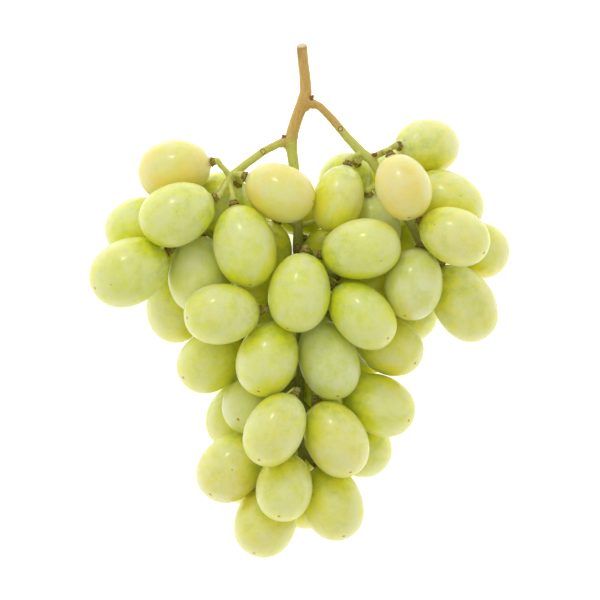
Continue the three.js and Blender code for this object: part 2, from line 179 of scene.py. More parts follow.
class SkinColours(bpy.types.PropertyGroup):
    """Colours of the grape skins"""

    flesh: colour_of("Flesh", "Skin and flesh in the light", (0.775, 0.83, 0.015))
    deep: colour_of("Deep green", "Mottling near the stalk", (0.50, 0.61, 0.04))
    amber: colour_of("Amber", "Riper skin", (0.97, 0.76, 0.13))
    wax: colour_of("Wax", "The whitish film on the skin", (0.86, 0.90, 0.63))
    speck: colour_of("Speck", "Specks and blossom scars", (0.20, 0.10, 0.02))


class StemLook(bpy.types.PropertyGroup):
    """Fineness and colours of the stem"""

    voxel: length_of("Voxel", "Fineness of the bark's mesh", 0.33 * MM)
    girth: length_of("Girth", "Bark over the core of the limbs", 0.26 * MM)
    flare: length_of("Flare", "How far the collars spread", 0.35 * MM)
    slant: FloatProperty(name="Slant", description="Slant of the cut at the end", default=math.radians(24),
                         subtype="ANGLE")
    spots: IntProperty(name="Corky spots", description="How many corky spots the bark has", default=700)
    spot_size: length_of("Spot size", "Radius of the largest corky spot", 0.14 * MM)
    wood: colour_of("Wood", "Bark near the cut end", (0.80, 0.52, 0.14))
    green: colour_of("Green", "Bark of the branches and stalks", (0.56, 0.58, 0.12))
    collar: colour_of("Collar", "Corky collars and shed marks", (0.17, 0.13, 0.03))
    rim: colour_of("Rim", "Edges of collars and scars, and flecks", (0.31, 0.13, 0.035))
    pith: colour_of("Pith", "The cut face", (0.80, 0.68, 0.44))


class StageSetup(bpy.types.PropertyGroup):
    """Floor, lights and camera"""

    view_width: length_of("View width", "Width that the camera takes in", 213 * MM)
    camera_height: length_of("Camera height", "Height of the camera over the bunch's middle", 3.5)
    key_power: FloatProperty(name="Key light", description="Power of the soft box, in watts", default=1.85)
    fill_power: FloatProperty(name="Fill light", description="Power of the light by the camera, in watts",
                              default=2.1)
    surround: FloatProperty(name="Surround", description="Brightness of the white room", default=0.61)
    floor_glow: FloatProperty(name="Floor glow", description="Light that comes up through the floor",
                              default=0.64)


def add_node(tree, kind, inputs=(), **settings):
    """Adds a node, with its settings and its inputs, each a socket to link or a value to set."""
    made = tree.nodes.new(kind)
    for name, value in settings.items():
        setattr(made, name, value)
    for key, value in dict(inputs).items():
        if isinstance(value, bpy.types.NodeSocket):
            tree.links.new(value, made.inputs[key])
        else:
            made.inputs[key].default_value = value
    return made


def calc(tree, operation, *values):
    """The result of one Math node on numbers or sockets."""
    return add_node(tree, "ShaderNodeMath", enumerate(values), operation=operation).outputs[0]


def times(tree, product, *factors):
    """The product of numbers and sockets."""
    for factor in factors:
        product = calc(tree, "MULTIPLY", product, factor)
    return product


def vector_calc(tree, operation, *values):
    """The vector that one Vector Math node gives."""
    return add_node(tree, "ShaderNodeVectorMath", enumerate(values), operation=operation).outputs[0]


def scaled(tree, vector, factor):
    """A vector made longer or shorter."""
    return add_node(tree, "ShaderNodeVectorMath", {0: vector, 3: factor}, operation="SCALE").outputs[0]


def measure(tree, vector):
    """The length of a vector."""
    return add_node(tree, "ShaderNodeVectorMath", {0: vector}, operation="LENGTH").outputs["Value"]


def join(tree, *parts):
    """A vector from its parts."""
    return add_node(tree, "ShaderNodeCombineXYZ", enumerate(parts)).outputs[0]


def split(tree, vector):
    """The three parts of a vector."""
    return add_node(tree, "ShaderNodeSeparateXYZ", {0: vector}).outputs


def ease(tree, value, start, end, low=0.0, high=1.0):
    """Goes smoothly from low to high as the value goes from start to end."""
    inputs = {"Value": value, "From Min": start, "From Max": end, "To Min": low, "To Max": high}
    return add_node(tree, "ShaderNodeMapRange", inputs, interpolation_type="SMOOTHSTEP").outputs[0]


def name_inputs(tree, **kinds):
    """Gives a Geometry Nodes tree its named inputs, kind by kind, and returns their sockets by name."""
    for kind, names in kinds.items():
        for name in names:
            tree.interface.new_socket(name=name, in_out="INPUT", socket_type=f"NodeSocket{kind}")
    tree.interface.new_socket(name="Geometry", in_out="OUTPUT", socket_type="NodeSocketGeometry")
    return add_node(tree, "NodeGroupInput").outputs


def position(tree):
    """The place of each point, as a Geometry Nodes field."""
    return add_node(tree, "GeometryNodeInputPosition").outputs[0]


def moved(tree, geometry, **inputs):
    """Geometry with its points set to a Position or shifted by an Offset."""
    return add_node(tree, "GeometryNodeSetPosition", {"Geometry": geometry, **inputs}).outputs[0]


def raised(tree, geometry, height):
    """Geometry with its points shifted outwards."""
    outwards = add_node(tree, "GeometryNodeInputNormal").outputs[0]
    return moved(tree, geometry, Offset=scaled(tree, outwards, height))


def store(tree, geometry, name, value, data_type="FLOAT"):
    """Stores a value on each point under a name."""
    inputs = {"Geometry": geometry, "Name": name, "Value": value}
    keeper = add_node(tree, "GeometryNodeStoreNamedAttribute", inputs, data_type=data_type, domain="POINT")
    return keeper.outputs[0]


def recall(tree, name, data_type="FLOAT"):
    """A value that was stored under a name."""
    return add_node(tree, "GeometryNodeInputNamedAttribute", {"Name": name}, data_type=data_type).outputs[0]


def close_tree(tree, geometry, material):
    """Ends a tree: smooth shading, real instances, and the material."""
    smooth = add_node(tree, "GeometryNodeSetShadeSmooth", {"Geometry": geometry}).outputs[0]
    real = add_node(tree, "GeometryNodeRealizeInstances", {"Geometry": smooth}).outputs[0]
    dressed = add_node(tree, "GeometryNodeSetMaterial", {"Geometry": real, "Material": material}).outputs[0]
    add_node(tree, "NodeGroupOutput", {"Geometry": dressed})


def grow(name, tree, values, mesh=None):
    """Runs a tree as a modifier with these inputs, and returns an object with the plain mesh it makes."""
    piece = bpy.data.objects.new(name, mesh or bpy.data.meshes.new(name))
    bpy.context.scene.collection.objects.link(piece)
    grower = piece.modifiers.new(tree.name, "NODES")
    grower.node_group = tree
    for socket in tree.interface.items_tree:
        if socket.in_out == "INPUT" and socket.name in values:
            grower[socket.identifier] = values[socket.name]
    return settle_modifiers(piece)


def settle_modifiers(piece):
    """Turns what an object's modifiers make into its plain mesh."""
    graph = bpy.context.evaluated_depsgraph_get()
    made = bpy.data.meshes.new_from_object(piece.evaluated_get(graph), preserve_all_data_layers=True,
                                           depsgraph=graph)
    piece.modifiers.clear()
    spent = piece.data
    piece.data = made
    bpy.data.meshes.remove(spent)
    made.name = piece.name
    if not made.polygons:
        raise RuntimeError(f"{piece.name} came out empty")
    return piece


def merged(node):
    """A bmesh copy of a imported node, with the corners of its loose triangles joined."""
    copy = bmesh.new()
    copy.from_mesh(node.data)
    bmesh.ops.remove_doubles(copy, verts=copy.verts, dist=MERGE)
    return copy


def dress(piece, slot, *nodes):
    """Makes a finished piece ride on the bunch and stand for its nodes. The slot is not used."""
    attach(piece, "root")
    if nodes:
        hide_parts(*nodes)


def read_grape(node, stem):
    """A grape's middle, its axis towards the stalk, its length and its width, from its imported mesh.

    The mesh is a lathe with a pole at each end of the axis, and the first ring about a pole gives both
    sizes. A pole that the floor has cut off isn't needed. The stalk is at the pole that is one collar's
    gap from the stem."""
    shape = merged(node)
    turn = math.pi / CAD_RINGS
    found = []
    for vertex in shape.verts:
        ring = [edge.other_vert(vertex).co for edge in vertex.link_edges]
        if len(ring) != CAD_SIDES or min(point.z for point in ring) < ON_FLOOR:
            continue
        centre = sum(ring, Vector()) / CAD_SIDES
        inward = (centre - vertex.co).normalized()
        reach = sum((point - centre).length for point in ring) / CAD_SIDES
        length = 2 * (centre - vertex.co).length / (1 - math.cos(turn))
        far = vertex.co + inward * length
        gaps = [abs(stem.find_nearest(pole)[3] - COLLAR_GAP) for pole in (vertex.co, far)]
        at_stalk = gaps[0] < gaps[1]
        fuller = 1 - EGG * math.cos(turn) if at_stalk else 1 + EGG * math.cos(turn)
        width = 2 * reach / (math.sin(turn) * fuller)
        axis = -inward if at_stalk else inward
        found.append((min(gaps), vertex.co + inward * length / 2, axis, length, width))
    shape.free()
    if not found or min(found)[0] > GAP_SLACK:
        raise RuntimeError(f"{node.name}: no stalk end was found")
    return min(found, key=lambda row: row[0])[1:]


def scar_place(middle, axis, length, width, stray):
    """Where the flower left its scar: a little off the tip, on the upper side, which the sun ripened."""
    lean = Vector((0, 0, 1)) + Vector(stray)
    lean = (lean - axis * lean.dot(axis)).normalized()
    back = axis * (length / 2 * math.cos(SCAR_TILT))
    return middle - back + lean * (width / 2 * math.sin(SCAR_TILT) * (1 + EGG))


def cushion_height(tree, has, across, cosine):
    """How far the skin rises to the cushion that closes the gap to the collar, and sinks in its moat."""
    mound = times(tree, ease(tree, across, CUSHION_FOOT, CUSHION_TOP), has["Cushion"])
    moat = times(tree, ease(tree, across, *MOAT_INNER), ease(tree, across, *MOAT_OUTER), -MOAT_DEPTH)
    stalk_side = calc(tree, "GREATER_THAN", cosine, 0.0)
    return times(tree, calc(tree, "ADD", mound, moat), stalk_side)


def lump_height(tree, has, place, across):
    """How far the skin is off a true egg, which is nothing at either end."""
    spread = scaled(tree, place, calc(tree, "DIVIDE", 1.0, has["Lump Size"]))
    inputs = {"Vector": spread, "W": has["Seed"], "Scale": 1.0, "Detail": 1.5}
    lumps = add_node(tree, "ShaderNodeTexNoise", inputs, noise_dimensions="4D").outputs[0]
    both_ways = calc(tree, "SUBTRACT", lumps, 0.5)
    return times(tree, both_ways, has["Lump"], 2.0, ease(tree, across, *LUMPS_FROM))


def blossom_scar(tree, has, geometry):
    """The scar of the flower: a small raised rim with a sunken middle, in a shallow dimple."""
    off = vector_calc(tree, "SUBTRACT", position(tree), has["Scar Place"])
    ring = calc(tree, "DIVIDE", measure(tree, off), has["Scar"])
    rim = calc(tree, "SUBTRACT", ease(tree, ring, 0.25, 0.9), ease(tree, ring, 1.0, 1.9))
    dimple = ease(tree, ring, 1.2, 5.0, -SCAR_DIMPLE, 0.0)
    marked = store(tree, geometry, "to_scar", off, "FLOAT_VECTOR")
    return raised(tree, marked, calc(tree, "ADD", times(tree, rim, SCAR_RIM), dimple))


def pressed_flat(tree, geometry):
    """The floor presses flat spots on the lowest grapes."""
    x, y, z = split(tree, position(tree))
    return moved(tree, geometry, Position=join(tree, x, y, calc(tree, "MAXIMUM", z, 0.0)))


def grape_tree():
    """The Geometry Nodes tree of one grape: an egg along its axis, closed at both poles."""
    tree = bpy.data.node_groups.new("grape", "GeometryNodeTree")
    has = name_inputs(
        tree, Float=["Length", "Width", "Egg", "Fullness", "Lump", "Lump Size", "Cushion", "Scar", "Seed",
                     "Ripeness"],
        Int=["Sides", "Rings"], Vector=["Middle", "Axis", "Scar Place"], Material=["Skin"])
    ball = add_node(tree, "GeometryNodeMeshUVSphere",
                    {"Segments": has["Sides"], "Rings": has["Rings"], "Radius": 1.0}).outputs["Mesh"]
    # Each point keeps its place on the ball, because what follows moves it more than once
    ball = store(tree, ball, "on_ball", position(tree), "FLOAT_VECTOR")
    x, y, z = split(tree, recall(tree, "on_ball", "FLOAT_VECTOR"))
    around = calc(tree, "ARCTAN2", y, x)
    plain_turn = calc(tree, "ARCCOSINE", z)
    crowd = times(tree, calc(tree, "SINE", times(tree, plain_turn, 2.0)), POLE_CROWDING)
    turn = calc(tree, "SUBTRACT", plain_turn, crowd)
    cosine = calc(tree, "COSINE", turn)
    sine = calc(tree, "POWER", calc(tree, "ABSOLUTE", calc(tree, "SINE", turn)), has["Fullness"])
    fuller = calc(tree, "SUBTRACT", 1.0, times(tree, has["Egg"], cosine))
    across = times(tree, has["Width"], 0.5, sine, fuller)
    east = times(tree, across, calc(tree, "COSINE", around))
    north = times(tree, across, calc(tree, "SINE", around))
    place = join(tree, east, north, times(tree, has["Length"], 0.5, cosine))
    egg = moved(tree, ball, Position=place)
    height = calc(tree, "ADD", cushion_height(tree, has, across, cosine),
                  lump_height(tree, has, place, across))
    noted = store(tree, raised(tree, egg, height), "from_stalk", calc(tree, "DIVIDE", turn, math.pi))
    noted = store(tree, noted, "ripeness", has["Ripeness"])
    # A place that changes fast round the grape and slowly along it, for the veins
    vein_step = calc(tree, "ADD", times(tree, turn, VEIN_TWIST), has["Seed"])
    vein = join(tree, calc(tree, "COSINE", around), calc(tree, "SINE", around), vein_step)
    noted = store(tree, noted, "vein", vein, "FLOAT_VECTOR")
    facing = add_node(tree, "FunctionNodeAlignRotationToVector", {"Vector": has["Axis"]}, axis="Z").outputs[0]
    placed = add_node(tree, "GeometryNodeTransform",
                      {"Geometry": noted, "Translation": has["Middle"], "Rotation": facing}).outputs[0]
    close_tree(tree, pressed_flat(tree, blossom_scar(tree, has, placed)), has["Skin"])
    return tree


def new_material(name):
    """A material with an empty tree. Returns it, its tree, and the piece's own coordinates in it."""
    material = bpy.data.materials.new(name)
    material.use_nodes = True
    tree = material.node_tree
    tree.nodes.clear()
    return material, tree, add_node(tree, "ShaderNodeTexCoord").outputs["Object"]


def close_material(tree, inputs):
    """Ends a material's tree with one shader."""
    shader = add_node(tree, "ShaderNodeBsdfPrincipled", inputs)
    add_node(tree, "ShaderNodeOutputMaterial", {"Surface": shader.outputs[0]})


def attribute(tree, name, output="Fac"):
    """A named value of the mesh, as a number or, with the output Vector, as a vector."""
    return add_node(tree, "ShaderNodeAttribute", attribute_name=name).outputs[output]


def blend(tree, amount, below, above):
    """One colour over another by an amount from 0 to 1."""
    mixer = add_node(tree, "ShaderNodeMix", data_type="RGBA", clamp_factor=True)
    for socket, value in ((mixer.inputs[0], amount), (mixer.inputs[6], below), (mixer.inputs[7], above)):
        if isinstance(value, bpy.types.NodeSocket):
            tree.links.new(value, socket)
        else:
            socket.default_value = value if isinstance(value, float) else (*value[:3], 1.0)
    return mixer.outputs[2]


def noise(tree, place, scale, detail=2.0, roughness=0.5):
    """Noise from 0 to 1 on the piece's own coordinates, with this many features to a metre."""
    inputs = {"Vector": place, "Scale": scale, "Detail": detail, "Roughness": roughness}
    return add_node(tree, "ShaderNodeTexNoise", inputs, noise_dimensions="3D").outputs[0]


def cells(tree, place, scale):
    """Scattered cells, this many to a metre, as the outputs of a Voronoi node."""
    inputs = {"Vector": place, "Scale": scale, "Randomness": 1.0}
    return add_node(tree, "ShaderNodeTexVoronoi", inputs).outputs


def bumpy(tree, height, strength, distance):
    """A normal for the shader, from a height."""
    inputs = {"Height": height, "Strength": strength, "Distance": distance}
    return add_node(tree, "ShaderNodeBump", inputs).outputs[0]


def flesh_colour(tree, place, base, amber_share):
    """Flesh, warmer in the riper grapes and towards the blossom end."""
    warmth = calc(tree, "ADD", times(tree, attribute(tree, "ripeness"), 0.42),
                  ease(tree, noise(tree, place, 70, 1.0), 0.4, 0.75, 0.0, 0.25))
    to_blossom = ease(tree, attribute(tree, "from_stalk"), 0.1, 0.9, 0.4, 1.0)
    blush = times(tree, ease(tree, noise(tree, place, 80, 1.5), 0.3, 0.7, 0.35, 1.2), amber_share)
    warm = calc(tree, "ADD", times(tree, warmth, to_blossom), blush)
    return blend(tree, warm, base, bpy.context.scene.grape_skin.amber)


def mottled(tree, place, colour, amber_share):
    """Green mottling, strongest at the stalk, pale veins that run along the grape, and pale dots."""
    colours = bpy.context.scene.grape_skin
    from_stalk = attribute(tree, "from_stalk")
    cloudy = ease(tree, noise(tree, place, 260, 5.0, 0.66), 0.42, 0.64)
    at_blossom, at_stalk = 0.25 - 0.2 * amber_share, 0.9 - 0.6 * amber_share
    near_stalk = ease(tree, from_stalk, 0.65, 0.04, at_blossom, at_stalk)
    colour = blend(tree, times(tree, cloudy, near_stalk), colour, colours.deep)
    veins = ease(tree, noise(tree, attribute(tree, "vein", "Vector"), 5.0, 4.0, 0.65), 0.42, 0.7)
    mid_grape = times(tree, ease(tree, from_stalk, 0.04, 0.2), ease(tree, from_stalk, 0.97, 0.8))
    colour = blend(tree, times(tree, veins, mid_grape, 0.13), colour, colours.wax)
    dots = ease(tree, cells(tree, place, 850.0)["Distance"], 0.26, 0.12)
    return blend(tree, times(tree, dots, 0.28), colour, colours.wax)


def wax_film(tree, place, wax_share, wax_everywhere):
    """How thick the film of wax is: in soft clouds, rubbed thin where grapes touch, thin deep in the bunch
    and close to neighbours as painted shade, and whole on the open outside as painted light.
    """
    clouds = ease(tree, noise(tree, place, 135, 5.0, 0.65), 0.34, 0.66, 0.5, 1.2)
    fine = ease(tree, noise(tree, place, 1500, 2.0), 0.3, 0.7, 0.92, 1.06)
    # Painted light and shade: the whitish wax is whole on open skin outside the bunch and thin deep in it and
    # next to neighbours, besides being rubbed where grapes touch
    wax_kept_and_lit = ease(tree, attribute(tree, "open"), 0.0, 1.0, wax_everywhere, 1.0)
    return times(tree, clouds, wax_kept_and_lit, fine, wax_share)


def specked(tree, place, colour, scar, round_scar):
    """A few small brown specks, and the scar of the flower in a warm halo."""
    colours = bpy.context.scene.grape_skin
    specks = cells(tree, place, 210.0)
    few = calc(tree, "GREATER_THAN",
               add_node(tree, "ShaderNodeSeparateColor", {0: specks["Color"]}).outputs[0], 0.78)
    speck = times(tree, ease(tree, specks["Distance"], 0.075, 0.03), few, 0.6)
    colour = blend(tree, speck, colour, colours.speck)
    colour = blend(tree, scar, colour, colours.speck)
    halo = times(tree, ease(tree, round_scar, 2.8 * MM, 0.6 * MM), 0.25)
    return blend(tree, halo, colour, colours.amber)


def skin_material(name, base, amber_share, wax_share, wax_everywhere):
    """Grape skin: translucent flesh, mottled green at the stalk, specks, and a whitish film of wax that also
    paints light on the open outside of the bunch and shade inside it.
    """
    material, tree, place = new_material(name)
    round_scar = measure(tree, attribute(tree, "to_scar", "Vector"))
    scar = ease(tree, round_scar, 0.75 * MM, 0.35 * MM, 0.0, 0.85)
    film = wax_film(tree, place, wax_share, wax_everywhere)
    colour = mottled(tree, place, flesh_colour(tree, place, base, amber_share), amber_share)
    colour = blend(tree, film, colour, bpy.context.scene.grape_skin.wax)
    colour = specked(tree, place, colour, scar, round_scar)
    rough = calc(tree, "MAXIMUM", calc(tree, "ADD", times(tree, film, 0.3), 0.33), times(tree, scar, 0.7))
    grain = calc(tree, "ADD", noise(tree, place, 900, 2.0), times(tree, noise(tree, place, 300, 1.0), 1.5))
    close_material(tree, {
        "Base Color": colour, "Roughness": rough, "Normal": bumpy(tree, grain, 0.12, 0.12 * MM), "IOR": 1.38,
        "Subsurface Weight": 1.0, "Subsurface Radius": (1.0, 0.9, 0.22), "Subsurface Scale": 7.5 * MM,
        "Sheen Weight": 0.04, "Sheen Roughness": 0.4, "Sheen Tint": (0.9, 0.95, 0.8, 1.0),
        "Coat Weight": 0.5, "Coat Roughness": 0.2,
    })
    return material


def points_of(mesh):
    """The points of a mesh, one to a row."""
    points = np.empty(len(mesh.vertices) * 3)
    mesh.vertices.foreach_get("co", points)
    return points.reshape(-1, 3)


def normals_of(mesh):
    """The directions that the points of a mesh face, one to a row."""
    normals = np.empty(len(mesh.vertices) * 3)
    mesh.vertex_normals.foreach_get("vector", normals)
    return normals.reshape(-1, 3)


def note(mesh, name, values):
    """Stores one number for each point of a mesh."""
    layer = mesh.attributes.new(name, "FLOAT", "POINT")
    layer.data.foreach_set("value", values.astype(np.float32))


def ramp(values, start, end):
    """0 before start, 1 past end, smooth between them. The start may be past the end."""
    share = np.clip((values - start) / (end - start), 0, 1)
    return share * share * (3 - 2 * share)


def skin_gap(points, middle, axis, length, width):
    """About how far each point is from the skin of one grape."""
    off = points - np.array(middle)
    along = off @ np.array(axis)
    aside = np.linalg.norm(off - along[:, None] * np.array(axis), axis=1)
    return (np.hypot(2 * along / length, 2 * aside / width) - 1) * width / 2


def note_lit_and_unrubbed_skin(grapes):
    """Notes how open each point of the skins lies: on the outside of the bunch, and off its neighbours. The
    wax follows it, as painted light outside and painted shade deep in the bunch and between grapes, besides
    wax rubbed off where grapes touch.
    """
    low, high = np.array(CAD_BOX)
    for piece, own in grapes.items():
        points = points_of(piece.data)
        gaps = [skin_gap(points, *other) for other in grapes.values() if other is not own]
        # Painted shade: skin deep in the bunch and close to a neighbour gets less of the whitish wax
        depth = np.linalg.norm((points - (low + high) / 2) / ((high - low) / 2), axis=1)
        free = ramp(np.min(gaps, axis=0), WAX_RUBBED_AND_SHADED, WAX_WHOLE_AND_LIT)
        note(piece.data, "open", free * ramp(depth, 0.3, 0.7))


class GROW_OT_grapes(bpy.types.Operator):
    """Grow a fine skin for every grape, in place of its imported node"""

    bl_idname = "bunch.grow_grapes"
    bl_label = "Grow grapes"

    def execute(self, context):
        sizes = context.scene.grape_sizes
        colours = context.scene.grape_skin
        greener = tuple((a + b) / 2 for a, b in zip(colours.flesh, colours.deep))
        skins = {
            "grape_green": skin_material("grape_green", colours.flesh, 0.0, 0.5, 0.05),
            "grape_amber": skin_material("grape_amber", colours.flesh, 1.05, 0.46, 0.3),
            "grape_bloom": skin_material("grape_bloom", greener, 0.0, 0.62, 0.6),
        }
        tree = grape_tree()
        stem_copy = merged(frame["nodes"]["stem"])
        stem = BVHTree.FromBMesh(stem_copy)
        stem_copy.free()
        slots = {row["node"]: row["material_slot"] for row in frame["record"]["subparts"]}
        draw = np.random.default_rng(20)
        grapes = {}
        for name in sorted(n for n in frame["nodes"] if n.startswith("grape_")):
            middle, axis, length, width = read_grape(frame["nodes"][name], stem)
            seed = float(draw.uniform(0, 50))
            sunned = 0.5 * (middle.y < LOW_GRAPES) + 0.4 * (middle.x > RIGHT_GRAPES)
            ripeness = float(draw.uniform(0, 0.7) + sunned)
            stray = draw.normal(size=3) * SCAR_STRAY
            piece = grow(f"skin_{name.removeprefix('grape_')}", tree, {
                "Length": length, "Width": width, "Egg": EGG, "Fullness": sizes.fullness,
                "Sides": sizes.sides, "Rings": sizes.rings, "Lump": sizes.lump,
                "Lump Size": sizes.lump_size, "Cushion": sizes.cushion, "Scar": sizes.scar,
                "Seed": seed, "Ripeness": ripeness, "Middle": list(middle), "Axis": list(axis),
                "Scar Place": list(scar_place(middle, axis, length, width, stray)),
                "Skin": skins[slots[name]],
            })
            grapes[piece] = (middle, axis, length, width)
            dress(piece, slots[name], name)
        note_lit_and_unrubbed_skin(grapes)
        return {"FINISHED"}


def bark_colour(tree, place, look, streaks, cloud):
    """Tan wood near the cut end, and green that is darker inside the bunch, both with streaks."""
    unevenness = times(tree, calc(tree, "SUBTRACT", cloud, 0.5), 0.9)
    turning = ease(tree, calc(tree, "ADD", attribute(tree, "wood"), unevenness), 0.3, 0.75)
    pale_green = tuple(1.3 * c for c in look.green)
    shade_green = tuple(0.35 * c for c in look.green)
    dark_wood = tuple(0.62 * c for c in look.wood)
    green = blend(tree, ease(tree, streaks, 0.3, 0.75), look.green, pale_green)
    green = blend(tree, times(tree, attribute(tree, "shaded"), 0.75), green, shade_green)
    tan = blend(tree, ease(tree, streaks, 0.72, 0.3, 0.0, 0.75), look.wood, dark_wood)
    colour = blend(tree, turning, green, tan)
    # Darker reddish brown on the left-facing side near the cut, and at the cut's lip
    brown_near_cut = times(tree, attribute(tree, "brown_near_cut"), ease(tree, cloud, 0.25, 0.6))
    colour = blend(tree, brown_near_cut, colour, look.rim)
    # Fine reddish flecks all over the bark
    flecks = ease(tree, noise(tree, place, 1900, 2.0, 0.6), 0.6, 0.72, 0.0, 0.5)
    return blend(tree, flecks, colour, look.rim)


def stem_material():
    """Stem bark: tan wood by the cut end, green along the branches, corky brown collars and marks."""
    look = bpy.context.scene.stem_look
    material, tree, place = new_material("stem")
    run = join(tree, times(tree, attribute(tree, "run_round"), 9.0),
               times(tree, attribute(tree, "run_along"), 260.0))
    streaks = noise(tree, run, 1.0, 4.0, 0.6)
    cloud = noise(tree, place, 420, 3.0, 0.6)
    unevenness = times(tree, calc(tree, "SUBTRACT", cloud, 0.5), 0.5)
    corky = ease(tree, calc(tree, "ADD", attribute(tree, "collar"), unevenness), 0.3, 0.7)
    pale_cork = tuple(2.4 * c for c in look.collar)
    crust = blend(tree, ease(tree, noise(tree, place, 1300, 2.0), 0.35, 0.65), look.collar, pale_cork)
    crust = blend(tree, attribute(tree, "rim"), crust, look.rim)
    colour = blend(tree, corky, bark_colour(tree, place, look, streaks, cloud), crust)
    colour = blend(tree, times(tree, attribute(tree, "pale"), 0.7), colour, look.pith)
    fibre = noise(tree, place, 2600, 2.0, 0.7)
    pith = blend(tree, ease(tree, fibre, 0.4, 0.75, 0.0, 0.5), look.pith, look.wood)
    colour = blend(tree, attribute(tree, "cut"), colour, pith)
    height = calc(tree, "ADD", streaks, times(tree, noise(tree, place, 1500, 3.0), 0.6))
    close_material(tree, {
        "Base Color": colour, "Roughness": ease(tree, corky, 0.0, 1.0, 0.55, 0.85),
        "Normal": bumpy(tree, height, 0.5, 0.2 * MM), "IOR": 1.45,
        "Subsurface Weight": 0.25, "Subsurface Radius": (1.0, 0.8, 0.3), "Subsurface Scale": 0.6 * MM,
    })
    return material


def nearest_run(points):
    """For each point of the stem, how far it is along the nearest bare limb, its angle round it, and how
    far it is from it."""
    best = np.full(len(points), np.inf)
    along = np.zeros(len(points))
    side = np.zeros(len(points))
    for run in BARK_RUNS.values():
        corners = np.array(run) * MM
        passed = 0.0
        for start, end in zip(corners[:-1], corners[1:]):
            way = end - start
            span = np.linalg.norm(way)
            way /= span
            share = np.clip((points - start) @ way, 0, span)
            off = points - start - share[:, None] * way
            away = np.linalg.norm(off, axis=1)
            level = np.cross(way, (0, 0, 1))
            level /= np.linalg.norm(level)
            angle = np.arctan2(off @ np.cross(level, way), off @ level)
            near = away < best
            best[near] = away[near]
            along[near] = passed + share[near]
            side[near] = angle[near]
            passed += span
    return along, side, best


def ragged(points, size, seed):
    """Noise about 0 at each point, with features of this size."""
    shift = Vector((seed, 0, 0))
    return np.array([mathutils.noise.noise(Vector(point) / size + shift) for point in points])


def web_knees(shape):
    """Adds balls for the swollen knees, and runs of balls for the stubs, to the stem before it is cast."""
    balls = list(KNEES)
    for stub in STUBS:
        for start, end in zip(stub[:-1], stub[1:]):
            balls += [tuple(a + (b - a) * step / STUB_STEPS for a, b in zip(start, end))
                      for step in range(STUB_STEPS + 1)]
    for x, y, z, radius in balls:
        made = bmesh.ops.create_icosphere(shape, subdivisions=3, radius=radius * MM)
        bmesh.ops.translate(shape, verts=made["verts"], vec=Vector((x, y, z)) * MM)


def cut_end(shape, angle):
    """Draws the tip out and cuts it on a slant, so that its face looks a little upwards.

    Returns a point on the lower edge of the cut, and the direction that the face looks in."""
    tip = max(vertex.co.y for vertex in shape.verts)
    for vertex in shape.verts:
        if vertex.co.y > tip - TIP_ZONE:
            vertex.co.y += TIP_GROWTH
    x, _, z = BARK_RUNS["peduncle"][0]
    low_edge = Vector((x * MM, tip + CUT_REACH, z * MM - CUT_DROP))
    slant = Vector((CUT_LEAN, math.cos(angle), math.sin(angle))).normalized()
    everything = shape.verts[:] + shape.edges[:] + shape.faces[:]
    cut_off = bmesh.ops.bisect_plane(shape, geom=everything, plane_co=low_edge, plane_no=slant,
                                     clear_outer=True)
    edges = [part for part in cut_off["geom_cut"] if isinstance(part, bmesh.types.BMEdge)]
    bmesh.ops.holes_fill(shape, edges=edges)
    return low_edge, slant


def cast_bark(shape, voxel):
    """Casts the stem anew as one skin, fine enough to carve."""
    mesh = bpy.data.meshes.new("stem_bark")
    shape.to_mesh(mesh)
    shape.free()
    bark = bpy.data.objects.new("stem_bark", mesh)
    bpy.context.scene.collection.objects.link(bark)
    cast = bark.modifiers.new("voxels", "REMESH")
    cast.mode = "VOXEL"
    cast.voxel_size = voxel
    soften = bark.modifiers.new("soften", "SMOOTH")
    soften.factor = 0.5
    soften.iterations = 4
    return settle_modifiers(bark)


def shape_collars(points, seats, flare, marks):
    """Marks the collars, their rims and the swollen necks above them, and returns how the collars spread."""
    spread = np.zeros_like(points)
    for seat, axis in seats:
        off = points - np.array(seat)
        up = off @ np.array(axis)
        aside = off - up[:, None] * np.array(axis)
        out = np.linalg.norm(aside, axis=1)
        close = (np.abs(up) < 4 * MM) & (out < 2.5 * MM)
        here = {
            "collar": ramp(up, 2.2 * MM, 1.0 * MM),
            "rim": ramp(out, 1.35 * MM, 1.75 * MM) * ramp(up, 1.5 * MM, 0.5 * MM),
            "neck": ramp(up, 0.5 * MM, 1.4 * MM) * ramp(up, 3.8 * MM, 1.6 * MM),
        }
        for name, values in here.items():
            marks[name][close] = np.maximum(marks[name][close], values[close])
        at_edge = ramp(out, 0.6 * MM, 1.5 * MM) * ramp(up, 1.3 * MM, 0.4 * MM)
        push = flare * at_edge / np.maximum(out, ON_AXIS)
        spread[close] += (aside * push[:, None])[close]
    return spread


def shape_bark(points, look, marks, along, side):
    """How far the bark stands out at each point: lumps, ridges, warts, its thickness and the cut face."""
    cut, bare, collar = marks["cut"], marks["limb"], marks["collar"]
    plain = (1 - cut) * (1 - collar)
    lumps = ragged(points, 1.6 * MM, 3.0) * 0.16 * MM + ragged(points, 0.8 * MM, 9.0) * 0.07 * MM
    warts = ragged(points, 0.75 * MM, 17.0) * 0.3 * MM * collar
    ridges = np.sin(side * 9 + 3 * np.sin(along / MM * 0.11)) * 0.06 * MM * bare
    girth = look.girth * plain * (0.85 + 0.15 * bare) + 0.25 * MM * marks["neck"]
    return (lumps * (1 - 0.7 * bare) + ridges) * plain + warts + girth + 0.4 * MM * cut


